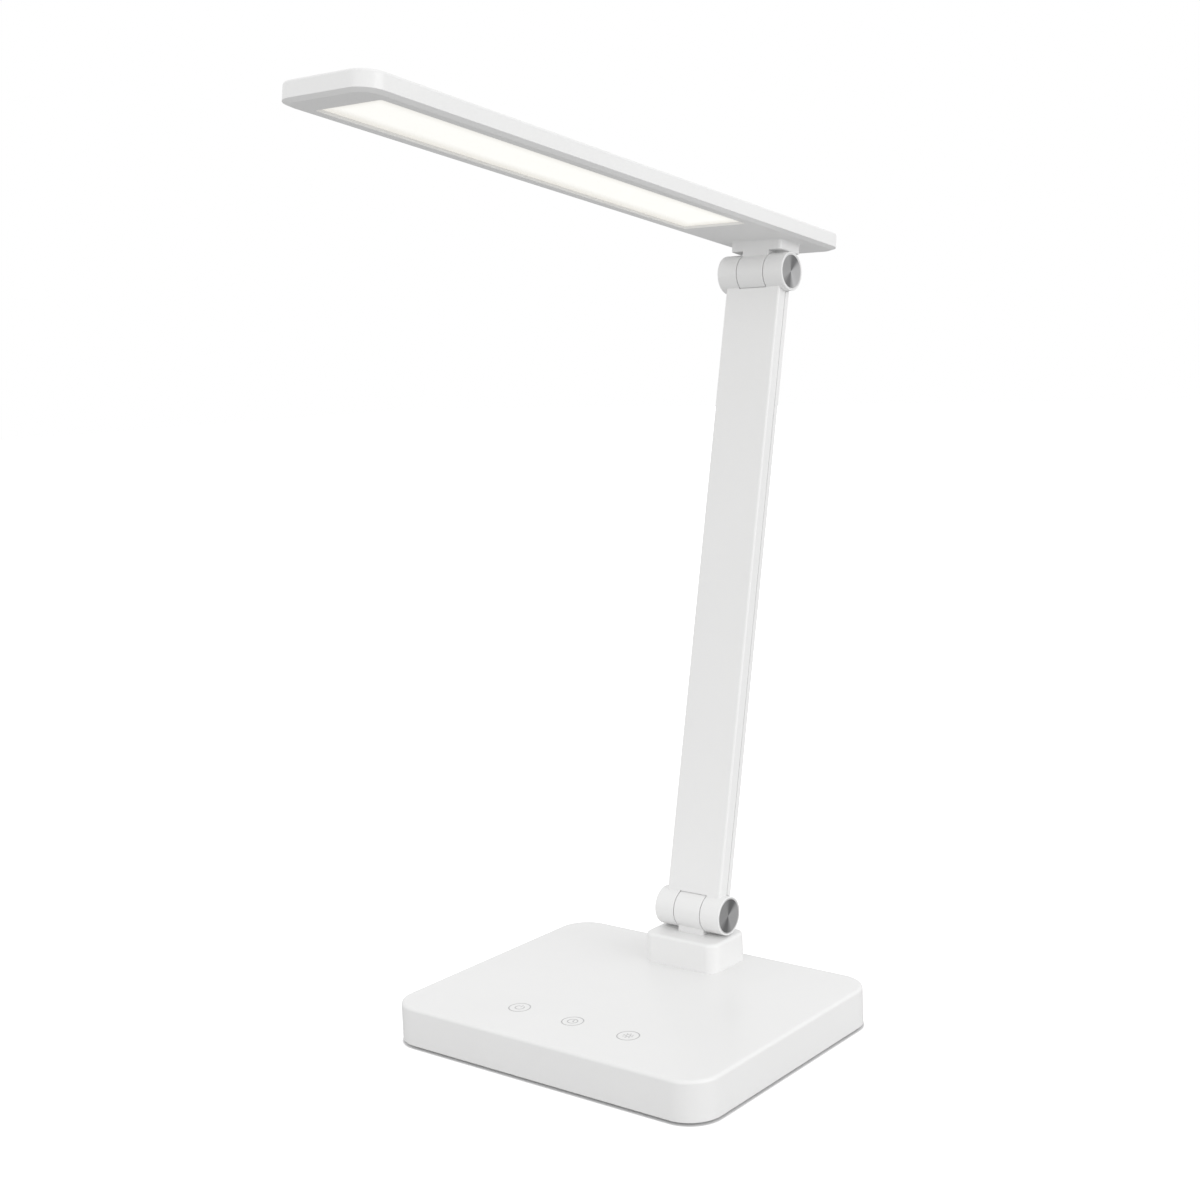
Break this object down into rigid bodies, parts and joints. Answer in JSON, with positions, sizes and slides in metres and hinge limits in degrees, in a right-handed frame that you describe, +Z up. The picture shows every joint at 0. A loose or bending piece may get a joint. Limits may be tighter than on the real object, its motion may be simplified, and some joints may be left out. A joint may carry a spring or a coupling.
{
  "type": "folding desk lamp",
  "caption": "Folding desk lamp: a weighted rectangular base with touch keys, a flat arm on a friction hinge, and a slim tilting light bar.",
  "frame": {"origin": "middle of the base's footprint, on the table plane that the rubber feet stand on", "axes": "+Z up, -Y towards the front edge with the touch keys, +X to the right as seen from the front; both hinge axes run along X"},
  "size_m": [0.16, 0.2987, 0.3801],
  "materials": {
    "white_satin": "satin",
    "grey_matte": "matte",
    "rubber": "matte",
    "zinc_screw": "satin",
    "zinc_steel": "satin",
    "circuit_board": "satin",
    "black_plastic": "matte",
    "brass": "satin",
    "turned_metal": "polished",
    "diffuser": "satin",
    "clear_acrylic": "gloss",
    "white_sheet": "satin",
    "white_board": "satin",
    "emitter": "gloss",
    "plain_aluminium": "satin"
  },
  "bodies": {
    "base": {"base_housing": "white_satin", "bottom_cover": "grey_matte", "foot_pads": "rubber", "cover_screws": "zinc_screw", "counterweight": "zinc_steel", "weight_pads": "rubber", "touch_board": "circuit_board", "touch_contacts": "rubber", "driver_board": "circuit_board", "driver_parts": "black_plastic", "board_screws": "zinc_screw", "power_inlet": "black_plastic", "pedestal": "white_satin", "pedestal_screws": "zinc_screw", "lower_bush": "brass"},
    "arm": {"arm_shell": "white_satin", "arm_cover": "white_satin", "arm_screws": "zinc_screw", "arm_strip": "zinc_steel", "arm_lead": "black_plastic", "lower_pin": "zinc_steel", "lower_washers": "brass", "lower_springs": "zinc_steel", "lower_nut": "zinc_steel", "lower_cap_right": "turned_metal", "lower_cap_left": "turned_metal", "upper_pin": "zinc_steel", "upper_washers": "brass", "upper_springs": "zinc_steel", "upper_nut": "zinc_steel", "upper_cap_right": "turned_metal", "upper_cap_left": "turned_metal"},
    "head": {"head_shell": "white_satin", "head_bezel": "white_satin", "diffuser": "diffuser", "light_guide": "clear_acrylic", "reflector_sheet": "white_sheet", "led_boards": "white_board", "leds": "emitter", "back_plate": "plain_aluminium", "head_bracket": "white_satin", "anchor_plate": "zinc_steel", "bracket_screws": "zinc_screw", "upper_bush": "brass", "head_lead": "black_plastic"}
  },
  "joints": [
    {"name": "arm_fold", "type": "hinge", "parent": "base", "child": "arm", "pos_m": [0, 0.0495, 0.0394], "axis": [1, 0, 0], "range_deg": [-32, 103]},
    {"name": "head_tilt", "type": "hinge", "parent": "arm", "child": "head", "pos_m": [0, 0.11361, 0.3171], "axis": [1, 0, 0], "range_deg": [-94, 86]}
  ]
}
